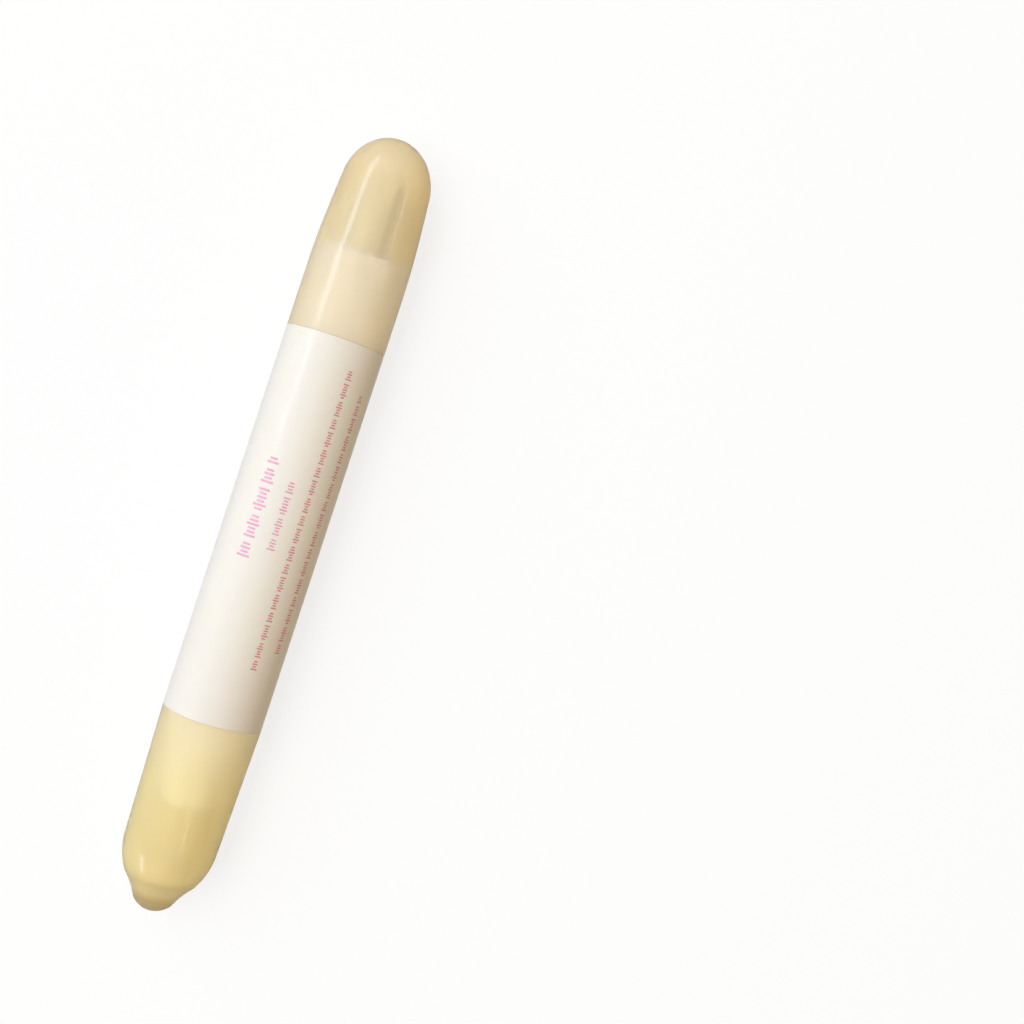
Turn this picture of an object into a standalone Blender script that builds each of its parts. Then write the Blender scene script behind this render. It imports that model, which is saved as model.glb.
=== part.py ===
"""Double-ended nail polish corrector pen with three spare nibs, capped at both ends and lying on its side.

Metres, +Z up. The pen's axis runs along X, with the working nib towards -X and the spare nibs towards +X.
The origin is on the surface that the pen lies on, under the middle of its length.
Each piece is modelled along its own +X, away from the barrel, and is turned round for the nib end.
"""

import math

import bmesh
import bpy

# Fits
SLIDE_CLEARANCE = 0.0002  # radial gap between two pieces that slide over each other
SEAT_GAP = 0.0003  # gap along the axis where one piece seats against another

# Felt nib, the same for the working nib and the three spares
NIB_RADIUS = 0.0024
NIB_SLANT_LENGTH = 0.0057  # length along the axis of the slanted writing face
NIB_EXPOSED = 0.0088  # how far the working nib stands out of the nose
NIB_IN_CORE = 0.0040  # how far its rear end reaches into the fibre core
NIB_REAR_CHAMFER = 0.0010
NIB_TIP_BLUNT = 0.0004  # how much the felt's foremost edge is rounded off

# Holder for the spare nibs, which also plugs the barrel's tail end
SPARE_COUNT = 3
SPARE_EXPOSED = 0.0142  # how far a spare nib stands out of the holder
SOCKET_WEB = 0.0005  # plastic between two sockets
SOCKET_WALL = 0.0005  # plastic between a socket and the outside of the skirt
SOCKET_LEAD_IN = 0.00012
HOLDER_FLOOR = 0.0011
HOLDER_COLLAR_LENGTH = 0.0136
HOLDER_EDGE = 0.0003

# Barrel
BARREL_LENGTH = 0.0624
BARREL_WALL = 0.0014
BARREL_EDGE = 0.00025
RIB_COUNT = 6
RIB_WIDTH = 0.0010
RIB_END_SPACE = 0.0010  # free length between a rib and the skirt of the plug at either end

# Nose
NOSE_LENGTH = 0.0206
NOSE_CONE_LENGTH = 0.0124  # where the cone would run into the neck without its blend
CONE_BLEND_BEFORE = 0.0030
CONE_BLEND_AFTER = 0.0012
NECK_WALL = 0.00134
NECK_TAPER_LENGTH = 0.0021
NECK_TAPER = 0.00037
NECK_LIP = 0.0003
NECK_BORE_LENGTH = 0.0111
NOSE_SKIRT_LENGTH = 0.0080
SKIRT_WALL = 0.0010
SKIRT_CHAMFER = 0.0002
SHOULDER_DEPTH = 0.0007  # how far inside the barrel the reservoir's stop lies
SHOULDER_WIDTH = 0.0010
FUNNEL_STEP = 0.0004  # how much wider the funnel is than the neck's bore where they meet
VENT_COUNT = 4
VENT_WIDTH = 0.0008
VENT_DEPTH = 0.00035

# Reservoir
FILM_WALL = 0.00025

# Both caps
CAP_MOUTH_WALL = 0.00065
CAP_WALL = 0.00095
CAP_EDGE = 0.00015
DOME_START = math.radians(5.0)  # angle on the dome's ellipse where the cap's side runs into it

# Nib cap
NIB_CAP_TAPER = 0.00055  # how much narrower the dome's foot is than the mouth
NIB_CAP_DOME_LENGTH = 0.0096
NUB_LENGTH = 0.0042
NUB_WALL = 0.00105
NUB_STANDOFF = 0.0019  # how far the nub reaches past where the dome's curve would end
TIP_ROOM = 0.00165  # free space in front of the working nib
NIB_AIR_GAP = 0.00065  # free space round the working nib
SLEEVE_WALL = 0.00086
SLEEVE_OVERLAP = 0.0040  # how far the sealing sleeve reaches over the neck's straight part
SLEEVE_LEAD_IN = 0.00025
SLEEVE_STOP_SPACE = 0.0006
POCKET_WIDTH = 0.0008  # width of the ring-shaped pocket round the sleeve at its closed end

# Tail cap
TAIL_CAP_TAPER = 0.0008
TAIL_CAP_DOME_LENGTH = 0.0083
TAIL_CAP_STRAIGHT = 0.0100
TAIL_ROOM = 0.0044  # free space beyond the spare nibs

# Facets
SEGMENTS = 48  # round each large piece
NIB_SEGMENTS = 24  # round a nib or a socket
DOME_STEPS = 8
BLEND_STEPS = 5

# Radii that follow from the fits: three spare nibs side by side set the pen's thickness
socket_radius = NIB_RADIUS + SLIDE_CLEARANCE
socket_circle = (socket_radius + SOCKET_WEB / 2) / math.sin(math.pi / SPARE_COUNT)
skirt_radius = socket_circle + socket_radius + SOCKET_WALL
bore_radius = skirt_radius + SLIDE_CLEARANCE
barrel_radius = bore_radius + BARREL_WALL
reservoir_space = skirt_radius - SKIRT_WALL
film_radius = reservoir_space - SLIDE_CLEARANCE
core_radius = film_radius - FILM_WALL - SLIDE_CLEARANCE
cap_bore = barrel_radius - CAP_MOUTH_WALL
collar_radius = cap_bore - SLIDE_CLEARANCE
neck_bore = NIB_RADIUS + SLIDE_CLEARANCE
neck_radius = neck_bore + NECK_WALL
sleeve_bore = neck_radius + SLIDE_CLEARANCE
sleeve_radius = sleeve_bore + SLEEVE_WALL
throat_radius = NIB_RADIUS + NIB_AIR_GAP

# Lengths that follow from the fits
reservoir_start = SHOULDER_DEPTH + SEAT_GAP
nib_length = NIB_EXPOSED + NOSE_LENGTH + reservoir_start + NIB_IN_CORE
socket_depth = nib_length - SPARE_EXPOSED + SEAT_GAP
holder_skirt_length = socket_depth + HOLDER_FLOOR - HOLDER_COLLAR_LENGTH
reservoir_end = BARREL_LENGTH - holder_skirt_length - SEAT_GAP
reservoir_length = reservoir_end - reservoir_start
nib_cap_cavity = NOSE_LENGTH + NIB_EXPOSED - SEAT_GAP + TIP_ROOM
nib_cap_length = nib_cap_cavity + NUB_WALL
tail_cap_cavity = HOLDER_COLLAR_LENGTH + SPARE_EXPOSED - SEAT_GAP + TAIL_ROOM
tail_cap_length = tail_cap_cavity + CAP_WALL

# Place of the barrel's nib-end face, from which every station along the pen is measured
overall_length = nib_cap_length + SEAT_GAP + BARREL_LENGTH + SEAT_GAP + tail_cap_length
barrel_start = nib_cap_length + SEAT_GAP - overall_length / 2
axis_height = barrel_radius * math.cos(math.pi / SEGMENTS)  # the pen lies on its lowest facet


def clear_scene():
    for obj in list(bpy.data.objects):
        bpy.data.objects.remove(obj, do_unlink=True)


def finish(obj, name, colour, roughness, transmission=0.0):
    """Gives the piece a plastic, felt or film of this colour."""
    material = bpy.data.materials.new(name)
    material.use_nodes = True
    shader = material.node_tree.nodes["Principled BSDF"]
    shader.inputs["Base Color"].default_value = (*colour, 1.0)
    shader.inputs["Roughness"].default_value = roughness
    shader.inputs["Metallic"].default_value = 0.0
    shader.inputs["Transmission Weight"].default_value = transmission
    material.diffuse_color = (*colour, 1.0)
    obj.data.materials.append(material)


def ellipse(centre, length, radius, start, end, steps):
    """Points (x, r) on a dome's ellipse, from the angle start to the angle end, where 90 degrees is its tip."""
    points = []
    for step in range(steps + 1):
        angle = start + (end - start) * step / steps
        points.append((centre + length * math.sin(angle), radius * math.cos(angle)))
    points[-1] = (points[-1][0], max(points[-1][1], 0.0))
    return points


def ellipse_slope(length, radius, angle):
    return -radius / length * math.tan(angle)


def eased(start, end, start_slope, end_slope, steps):
    """Points (x, r) between two ends on a cubic that leaves and arrives at the given slopes."""
    run = end[0] - start[0]
    points = []
    for step in range(steps + 1):
        t = step / steps
        radius = (
            (2 * t**3 - 3 * t**2 + 1) * start[1]
            + (t**3 - 2 * t**2 + t) * run * start_slope
            + (3 * t**2 - 2 * t**3) * end[1]
            + (t**3 - t**2) * run * end_slope
        )
        points.append((start[0] + run * t, radius))
    return points


def bend(start, corner, end, steps):
    """Points (x, r) on the soft bend that replaces a corner."""
    points = []
    for step in range(steps + 1):
        t = step / steps
        weights = ((1 - t) ** 2, 2 * t * (1 - t), t**2)
        points.append(
            tuple(
                sum(weight * point[axis] for weight, point in zip(weights, (start, corner, end)))
                for axis in (0, 1)
            )
        )
    return points


def turned_mesh(name, outline, segments, ring=False):
    """Spins an outline of (x, r) points round the X axis. A ring's outline is closed, any other ends on the axis."""
    phase = math.pi / segments
    bm = bmesh.new()
    verts = [bm.verts.new((x, r * math.cos(phase), r * math.sin(phase))) for x, r in outline]
    edges = [bm.edges.new(pair) for pair in zip(verts, verts[1:])]
    if ring:
        edges.append(bm.edges.new((verts[-1], verts[0])))
    bmesh.ops.spin(
        bm,
        geom=verts + edges,
        cent=(0, 0, 0),
        axis=(1, 0, 0),
        angle=math.tau,
        steps=segments,
        use_merge=True,
    )
    bmesh.ops.remove_doubles(bm, verts=bm.verts, dist=1e-6)
    bmesh.ops.recalc_face_normals(bm, faces=bm.faces)
    mesh = bpy.data.meshes.new(name)
    bm.to_mesh(mesh)
    bm.free()
    return mesh


def box_mesh(name, low, high, count):
    """The same box repeated evenly round the X axis, each copy a body of its own."""
    bm = bmesh.new()
    for copy in range(count):
        made = bmesh.ops.create_cube(bm, size=1.0)["verts"]
        for vert in made:
            for axis in range(3):
                vert.co[axis] = high[axis] if vert.co[axis] > 0 else low[axis]
        angle = math.tau * (copy + 0.5) / count
        turn = ((1, 0, 0), (0, math.cos(angle), -math.sin(angle)), (0, math.sin(angle), math.cos(angle)))
        for vert in made:
            vert.co = [sum(row[axis] * vert.co[axis] for axis in range(3)) for row in turn]
    bmesh.ops.recalc_face_normals(bm, faces=bm.faces)
    mesh = bpy.data.meshes.new(name)
    bm.to_mesh(mesh)
    bm.free()
    return mesh


def place(name, mesh, frame, station=0.0, towards_nib=False):
    """Adds a piece at a station along the pen, pointing towards the tail or towards the nib."""
    obj = bpy.data.objects.new(name, mesh)
    bpy.context.scene.collection.objects.link(obj)
    obj.parent = frame
    obj.location.x = station
    obj.rotation_euler.z = math.pi if towards_nib else 0.0
    return obj


def shade(obj):
    obj.data.shade_smooth()
    obj.data.set_sharp_from_angle(angle=math.radians(30))


def shape_with(obj, tool, operation):
    """Adds the tool to the piece, or cuts it out, by an exact Boolean."""
    tool.parent = obj
    tool.hide_render = True
    tool.display_type = "WIRE"
    modifier = obj.modifiers.new(tool.name, "BOOLEAN")
    modifier.operation = operation
    modifier.solver = "EXACT"
    modifier.object = tool


def make_barrel(frame):
    """Plain tube with small rounded rims, and ribs inside that centre the reservoir and let air pass it."""
    rim = barrel_radius - BARREL_EDGE
    far = BARREL_LENGTH
    outline = [
        (0, bore_radius),
        (0, rim),
        (BARREL_EDGE * 0.3, barrel_radius - BARREL_EDGE * 0.3),
        (BARREL_EDGE, barrel_radius),
        (far - BARREL_EDGE, barrel_radius),
        (far - BARREL_EDGE * 0.3, barrel_radius - BARREL_EDGE * 0.3),
        (far, rim),
        (far, bore_radius),
    ]
    barrel = place("barrel", turned_mesh("barrel", outline, SEGMENTS, ring=True), frame)
    rib_start = NOSE_SKIRT_LENGTH + RIB_END_SPACE
    rib_end = far - holder_skirt_length - RIB_END_SPACE
    ribs = box_mesh(
        "barrel_ribs",
        (rib_start, -RIB_WIDTH / 2, reservoir_space),
        (rib_end, RIB_WIDTH / 2, bore_radius + BARREL_WALL / 3),
        RIB_COUNT,
    )
    shape_with(barrel, place("barrel_ribs", ribs, frame), "UNION")
    shade(barrel)
    finish(barrel, "barrel_white", (0.90, 0.87, 0.81), 0.35)


def nose_outline():
    """Nose from its skirt inside the barrel, over the cone and neck, and back along the bore."""
    neck_start = (NOSE_CONE_LENGTH + CONE_BLEND_AFTER, neck_radius)
    corner = (NOSE_CONE_LENGTH, neck_radius)
    slope = (neck_radius - collar_radius) / (NOSE_CONE_LENGTH - SEAT_GAP)
    cone_end = (corner[0] - CONE_BLEND_BEFORE, corner[1] - CONE_BLEND_BEFORE * slope)
    taper_start = NOSE_LENGTH - NECK_TAPER_LENGTH
    tip_radius = neck_radius - NECK_TAPER
    funnel_start = (-SHOULDER_DEPTH, reservoir_space - SHOULDER_WIDTH)
    funnel_end = (NOSE_LENGTH - NECK_BORE_LENGTH - FUNNEL_STEP, neck_bore + FUNNEL_STEP)
    outside = [
        (-NOSE_SKIRT_LENGTH, reservoir_space),
        (-NOSE_SKIRT_LENGTH, skirt_radius - SKIRT_CHAMFER),
        (SKIRT_CHAMFER - NOSE_SKIRT_LENGTH, skirt_radius),
        (SEAT_GAP, skirt_radius),
        (SEAT_GAP, collar_radius),
        *bend(cone_end, corner, neck_start, BLEND_STEPS),
        (taper_start, neck_radius),
        (NOSE_LENGTH - NECK_LIP, tip_radius),
        (NOSE_LENGTH, tip_radius - NECK_LIP),
    ]
    inside = [
        (NOSE_LENGTH, neck_bore + NECK_LIP / 2),
        (NOSE_LENGTH - NECK_LIP / 2, neck_bore),
        (NOSE_LENGTH - NECK_BORE_LENGTH, neck_bore),
        funnel_end,
        funnel_start,
        (-SHOULDER_DEPTH, reservoir_space),
    ]
    return outside + inside


def make_nose(frame):
    """Cone and neck that plug the barrel, with a funnel and a vented bore that grips the nib."""
    nose = place("nose_cone", turned_mesh("nose_cone", nose_outline(), SEGMENTS, ring=True), frame, towards_nib=True)
    vents = box_mesh(
        "nose_vents",
        (NOSE_LENGTH - NECK_BORE_LENGTH - 2 * FUNNEL_STEP, -VENT_WIDTH / 2, neck_bore - VENT_DEPTH),
        (NOSE_LENGTH + NECK_LIP, VENT_WIDTH / 2, neck_bore + VENT_DEPTH),
        VENT_COUNT,
    )
    shape_with(nose, place("nose_vents", vents, frame), "DIFFERENCE")
    shade(nose)
    finish(nose, "nose_white", (0.82, 0.84, 0.86), 0.4)


def nib_mesh():
    """Felt rod with a chamfered rear end at x = 0 and a slanted writing face that looks towards +Z."""
    outline = [
        (0, 0),
        (0, NIB_RADIUS - NIB_REAR_CHAMFER),
        (NIB_REAR_CHAMFER, NIB_RADIUS),
        (nib_length - NIB_TIP_BLUNT, NIB_RADIUS),
        (nib_length - NIB_TIP_BLUNT * 0.3, NIB_RADIUS - NIB_TIP_BLUNT * 0.3),
        (nib_length, NIB_RADIUS - NIB_TIP_BLUNT),
        (nib_length, 0),
    ]
    mesh = turned_mesh("nib", outline, NIB_SEGMENTS)
    bm = bmesh.new()
    bm.from_mesh(mesh)
    normal = (2 * NIB_RADIUS, 0, NIB_SLANT_LENGTH)
    cut = bmesh.ops.bisect_plane(
        bm,
        geom=bm.verts[:] + bm.edges[:] + bm.faces[:],
        dist=1e-7,
        plane_co=(nib_length, 0, NIB_TIP_BLUNT - NIB_RADIUS),
        plane_no=normal,
        clear_outer=True,
    )
    rim = [item for item in cut["geom_cut"] if isinstance(item, bmesh.types.BMEdge)]
    bmesh.ops.edgeloop_fill(bm, edges=rim)
    bmesh.ops.recalc_face_normals(bm, faces=bm.faces)
    bm.to_mesh(mesh)
    bm.free()
    return mesh


def make_nibs(frame):
    """Working nib in the nose, and the spares round the holder with their slanted faces outwards."""
    mesh = nib_mesh()
    nib = place("nib", mesh, frame, reservoir_start + NIB_IN_CORE, towards_nib=True)
    shade(nib)
    finish(nib, "nib_felt", (0.62, 0.62, 0.64), 0.9)
    for spare in range(SPARE_COUNT):
        station = BARREL_LENGTH + HOLDER_COLLAR_LENGTH + SPARE_EXPOSED - nib_length
        angle = math.pi / 2 + math.tau * spare / SPARE_COUNT
        piece = place(f"spare_nib_{spare + 1}", mesh, frame, station)
        piece.location.y = socket_circle * math.cos(angle)
        piece.location.z = socket_circle * math.sin(angle)
        piece.rotation_euler.x = angle - math.pi / 2


def make_reservoir(frame):
    """Fibre core that holds the fluid, in a film sleeve, with the hole that the nib's rear end presses into it."""
    hole_depth = NIB_IN_CORE + SEAT_GAP
    core_outline = [
        (hole_depth, 0),
        (hole_depth, socket_radius),
        (0, socket_radius),
        (0, core_radius),
        (reservoir_length, core_radius),
        (reservoir_length, 0),
    ]
    core = place("reservoir_core", turned_mesh("reservoir_core", core_outline, SEGMENTS), frame, reservoir_start)
    shade(core)
    finish(core, "core_fibre", (0.80, 0.80, 0.78), 0.95)
    film_outline = [
        (0, film_radius - FILM_WALL),
        (0, film_radius),
        (reservoir_length, film_radius),
        (reservoir_length, film_radius - FILM_WALL),
    ]
    mesh = turned_mesh("reservoir_film", film_outline, SEGMENTS, ring=True)
    film = place("reservoir_film", mesh, frame, reservoir_start)
    shade(film)
    finish(film, "film_clear", (0.85, 0.87, 0.88), 0.2, transmission=0.5)


def make_holder(frame):
    """Plug for the barrel's tail end: a collar that the tail cap slides over, with a blind socket for each spare."""
    bottom = -holder_skirt_length
    top = HOLDER_COLLAR_LENGTH
    outline = [
        (bottom, 0),
        (bottom, skirt_radius - SKIRT_CHAMFER),
        (bottom + SKIRT_CHAMFER, skirt_radius),
        (SEAT_GAP, skirt_radius),
        (SEAT_GAP, collar_radius),
        (top - HOLDER_EDGE, collar_radius),
        (top - HOLDER_EDGE * 0.3, collar_radius - HOLDER_EDGE * 0.3),
        (top, collar_radius - HOLDER_EDGE),
        (top, 0),
    ]
    holder = place("nib_holder", turned_mesh("nib_holder", outline, SEGMENTS), frame, BARREL_LENGTH)
    socket_outline = [
        (top - socket_depth, 0),
        (top - socket_depth, socket_radius),
        (top - SOCKET_LEAD_IN, socket_radius),
        (top + SOCKET_LEAD_IN, socket_radius + 2 * SOCKET_LEAD_IN),
        (top + SOCKET_LEAD_IN, 0),
    ]
    socket_mesh = turned_mesh("socket", socket_outline, NIB_SEGMENTS)
    for spare in range(SPARE_COUNT):
        angle = math.pi / 2 + math.tau * spare / SPARE_COUNT
        socket = place(f"socket_{spare + 1}", socket_mesh, frame)
        socket.location.y = socket_circle * math.cos(angle)
        socket.location.z = socket_circle * math.sin(angle)
        socket.rotation_euler.x = angle - math.pi / 2
        shape_with(holder, socket, "DIFFERENCE")
    shade(holder)
    finish(holder, "holder_white", (0.85, 0.86, 0.86), 0.4)


def nub_junction(dome_centre, dome_radius, nub_centre, nub_radius):
    """Angles on the dome and on the nub where the two curves cross."""
    low, high = nub_centre, dome_centre + NIB_CAP_DOME_LENGTH
    for _ in range(40):
        middle = (low + high) / 2
        dome = dome_radius * math.sqrt(max(0.0, 1 - ((middle - dome_centre) / NIB_CAP_DOME_LENGTH) ** 2))
        nub = nub_radius * math.sqrt(max(0.0, 1 - ((middle - nub_centre) / NUB_LENGTH) ** 2))
        if dome > nub:
            low = middle
        else:
            high = middle
    return math.asin((low - dome_centre) / NIB_CAP_DOME_LENGTH), math.asin((low - nub_centre) / NUB_LENGTH)


def nib_cap_outline():
    """Nib cap: tapered shell, domed end with a nub over the nib's tip, and the sleeve that seals on the neck."""
    tip = math.pi / 2
    dome_radius = barrel_radius - NIB_CAP_TAPER
    dome_centre = nib_cap_length - NUB_STANDOFF - NIB_CAP_DOME_LENGTH
    nub_radius = throat_radius + NUB_WALL
    nub_centre = nib_cap_length - NUB_LENGTH
    dome_end, nub_start = nub_junction(dome_centre, dome_radius, nub_centre, nub_radius)
    outside = [
        (0, cap_bore),
        (0, barrel_radius - CAP_EDGE),
        (CAP_EDGE, barrel_radius),
        *ellipse(dome_centre, NIB_CAP_DOME_LENGTH, dome_radius, DOME_START, dome_end, DOME_STEPS)[:-1],
        *ellipse(nub_centre, NUB_LENGTH, nub_radius, nub_start, tip, DOME_STEPS - 2),
    ]
    inner_radius = dome_radius - CAP_WALL
    inner_length = NIB_CAP_DOME_LENGTH - CAP_WALL
    pocket_end = math.acos((sleeve_radius + POCKET_WIDTH) / inner_radius)
    pocket_depth = dome_centre + inner_length * math.sin(pocket_end)
    sleeve_mouth = NOSE_LENGTH - NECK_TAPER_LENGTH - SEAT_GAP - SLEEVE_OVERLAP
    sleeve_top = NOSE_LENGTH - SEAT_GAP + SLEEVE_STOP_SPACE
    inside = [
        *reversed(ellipse(nub_centre, NUB_LENGTH - NUB_WALL, throat_radius, 0.0, tip, 4)),
        (sleeve_top + sleeve_bore - throat_radius, throat_radius),
        (sleeve_top, sleeve_bore),
        (sleeve_mouth + SLEEVE_LEAD_IN, sleeve_bore),
        (sleeve_mouth, sleeve_bore + SLEEVE_LEAD_IN),
        (sleeve_mouth, sleeve_radius - SLEEVE_LEAD_IN),
        (sleeve_mouth + SLEEVE_LEAD_IN, sleeve_radius),
        (pocket_depth - POCKET_WIDTH / 4, sleeve_radius),
        (pocket_depth, sleeve_radius + POCKET_WIDTH / 4),
        *reversed(ellipse(dome_centre, inner_length, inner_radius, DOME_START, pocket_end, 3)),
    ]
    return inside + outside


def make_nib_cap(frame):
    cap = place("nib_cap", turned_mesh("nib_cap", nib_cap_outline(), SEGMENTS), frame, -SEAT_GAP, towards_nib=True)
    shade(cap)
    finish(cap, "nib_cap_cream", (0.86, 0.72, 0.42), 0.2, transmission=0.3)


def tail_cap_outline():
    """Tail cap: straight over the holder's collar, then tapering into a round dome over the spare nibs."""
    tip = math.pi / 2
    dome_radius = barrel_radius - TAIL_CAP_TAPER
    dome_centre = tail_cap_length - TAIL_CAP_DOME_LENGTH
    dome = ellipse(dome_centre, TAIL_CAP_DOME_LENGTH, dome_radius, DOME_START, tip, DOME_STEPS)
    slope = ellipse_slope(TAIL_CAP_DOME_LENGTH, dome_radius, DOME_START)
    outside = [
        (0, cap_bore),
        (0, barrel_radius - CAP_EDGE),
        (CAP_EDGE, barrel_radius),
        *eased((TAIL_CAP_STRAIGHT, barrel_radius), dome[0], 0.0, slope, BLEND_STEPS)[:-1],
        *dome,
    ]
    inner_length = TAIL_CAP_DOME_LENGTH - CAP_WALL
    inner_dome = ellipse(dome_centre, inner_length, dome_radius - CAP_WALL, DOME_START, tip, DOME_STEPS)
    inside = [*reversed(inner_dome), (HOLDER_COLLAR_LENGTH, cap_bore)]
    return inside + outside


def make_tail_cap(frame):
    station = BARREL_LENGTH + SEAT_GAP
    cap = place("tail_cap", turned_mesh("tail_cap", tail_cap_outline(), SEGMENTS), frame, station)
    shade(cap)
    finish(cap, "tail_cap_cream", (0.88, 0.77, 0.50), 0.2, transmission=0.3)


def main():
    clear_scene()
    frame = bpy.data.objects.new("pen_axis", None)
    frame.location = (barrel_start, 0, axis_height)
    bpy.context.scene.collection.objects.link(frame)
    make_barrel(frame)
    make_nose(frame)
    make_nibs(frame)
    make_reservoir(frame)
    make_holder(frame)
    make_nib_cap(frame)
    make_tail_cap(frame)


main()
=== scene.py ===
"""Looks of the double-ended nail polish corrector pen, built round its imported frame.

Metres, +Z up. The pen lies along X, as in the frame, with its nib cap towards -X.
Each visible piece is turned again with a fine outline, where its CAD node is and at that node's size.
A piece is modelled along its own +X, away from the barrel, and is turned round for the nib end.
"""

import math

import bmesh
import bpy
from mathutils import Matrix, Vector


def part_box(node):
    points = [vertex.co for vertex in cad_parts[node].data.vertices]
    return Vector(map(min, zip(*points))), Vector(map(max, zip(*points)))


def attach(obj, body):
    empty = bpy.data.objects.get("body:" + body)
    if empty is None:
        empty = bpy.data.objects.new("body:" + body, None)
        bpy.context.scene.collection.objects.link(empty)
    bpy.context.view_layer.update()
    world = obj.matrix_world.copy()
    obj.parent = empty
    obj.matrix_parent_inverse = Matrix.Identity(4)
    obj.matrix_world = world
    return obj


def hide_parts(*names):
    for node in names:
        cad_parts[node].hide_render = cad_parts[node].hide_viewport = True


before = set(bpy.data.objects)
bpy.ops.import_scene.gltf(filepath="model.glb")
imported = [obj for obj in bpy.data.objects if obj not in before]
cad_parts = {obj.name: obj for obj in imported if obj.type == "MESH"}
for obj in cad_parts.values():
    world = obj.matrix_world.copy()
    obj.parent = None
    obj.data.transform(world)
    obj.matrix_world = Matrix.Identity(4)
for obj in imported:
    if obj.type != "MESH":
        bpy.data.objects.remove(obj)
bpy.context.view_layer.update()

# Facets of the fine pieces
SEGMENTS = 144
NIB_SEGMENTS = 72
DOME_STEPS = 40
INNER_DOME_STEPS = 20
BEND_STEPS = 5
BLEND_STEPS = 15

# A bend takes at most this share of the line on each side of its corner
BEND_SHARE = 0.48

# From what angle an edge is sharp, and how near points are merged or count as lying on a cut
SHARP_ANGLE = math.radians(40)
MERGE_DISTANCE = 1e-7
CUT_TOLERANCE = 1e-8

# Gaps between pieces that touch on the real pen, that slide, and that fit snugly
SEAT_LINE = 0.00002
SLIDE_CLEARANCE = 0.0002
SNUG_CLEARANCE = 0.00005

# Barrel and its plugs
BARREL_WALL = 0.0014
BARREL_RIM = 0.00007
RIB_COUNT = 6
RIB_WIDTH = 0.0010
RIB_END_SPACE = 0.0010
SKIRT_WALL = 0.0010
SKIRT_ROUND = 0.0003
CAP_MOUTH_WALL = 0.00065

# Nose
CONE_LENGTH = 0.0124
CONE_BLEND_BEFORE = 0.0030
CONE_BLEND_AFTER = 0.0012
CONE_FOOT_ROUND = 0.00025
NECK_WALL = 0.00134
NECK_TAPER_LENGTH = 0.0021
NECK_TAPER = 0.00037
NECK_LIP_ROUND = 0.0006
NECK_BORE_LENGTH = 0.0111
SHOULDER_DEPTH = 0.0007
SHOULDER_WIDTH = 0.0010
FUNNEL_STEP = 0.0004
VENT_COUNT = 4
VENT_WIDTH = 0.0008
VENT_DEPTH = 0.00035

# Nibs and their holder
NIB_SLANT_LENGTH = 0.0057
NIB_EDGE = 0.00030
NIB_REAR_ROUND = 0.0010
NIB_DISH = 0.00005
NIB_DISH_INSET = 0.0005
NIB_DISH_STEPS = 3
SPARE_COUNT = 3
SOCKET_FLOOR_GAP = 0.0003
SOCKET_LEAD_IN = 0.0003
HOLDER_EDGE = 0.0004

# The middle point of a socket's curved lead-in, as shares of its depth and width
SOCKET_LEAD_IN_MIDDLE = (0.4, 0.2)

# Caps
CAP_WALL = 0.00095
CAP_MOUTH_ROUND = 0.00006
DOME_START = math.radians(5.0)
DOME_TIP = math.radians(90.0)
NIB_CAP_TAPER = 0.00055
NIB_CAP_DOME_LENGTH = 0.0096
NUB_LENGTH = 0.0042
NUB_WALL = 0.00105
NUB_STANDOFF = 0.0019
NUB_CREASE_STEPS = 14
JUNCTION_HALVINGS = 40
NIB_AIR_GAP = 0.00065
SLEEVE_WALL = 0.00086
SLEEVE_OVERLAP = 0.0040
SLEEVE_STOP_SPACE = 0.0009
SLEEVE_CLOSED_END = SLEEVE_WALL / 2
POCKET_WIDTH = 0.0008
POCKET_ROUND = POCKET_WIDTH / 3
TAIL_CAP_TAPER = 0.0008
TAIL_CAP_DOME_LENGTH = 0.0083
TAIL_CAP_STRAIGHT = 0.0100


def span(node):
    """A round node's lowest and highest x, and its radius."""
    low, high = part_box(node)
    return low.x, high.x, (high.z - low.z) / 2


barrel_start, barrel_end, barrel_radius = span("barrel")
nib_cap_tip, nib_cap_mouth, _ = span("nib_cap")
tail_cap_mouth, tail_cap_tip, _ = span("tail_cap")
nose_tip, nose_skirt_end, collar_radius = span("nose_cone")
nib_tip, nib_rear, nib_radius = span("nib")
holder_bottom, holder_top, _ = span("nib_holder")

barrel_length = barrel_end - barrel_start
seat_gap = barrel_start - nib_cap_mouth
cap_bore = barrel_radius - CAP_MOUTH_WALL
bore_radius = barrel_radius - BARREL_WALL
skirt_radius = bore_radius - SNUG_CLEARANCE
reservoir_space = skirt_radius - SKIRT_WALL
neck_bore = nib_radius + SNUG_CLEARANCE
neck_radius = neck_bore + SLIDE_CLEARANCE + NECK_WALL
sleeve_bore = neck_radius + SLIDE_CLEARANCE
sleeve_radius = sleeve_bore + SLEEVE_WALL
throat_radius = nib_radius + NIB_AIR_GAP
nub_radius = throat_radius + NUB_WALL
nose_length = barrel_start - nose_tip
nib_length = nib_rear - nib_tip
nib_cap_length = nib_cap_mouth - nib_cap_tip
tail_cap_length = tail_cap_tip - tail_cap_mouth
collar_length = holder_top - barrel_end


def rounded(first, corner, last, steps=BEND_STEPS):
    """Points (x, r) of a bend from the first point to the last that the corner pulls on."""
    first, corner, last = Vector(first), Vector(corner), Vector(last)
    shares = [step / steps for step in range(steps + 1)]
    return [tuple(first * (1 - t) ** 2 + corner * (2 * t * (1 - t)) + last * t**2) for t in shares]


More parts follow.
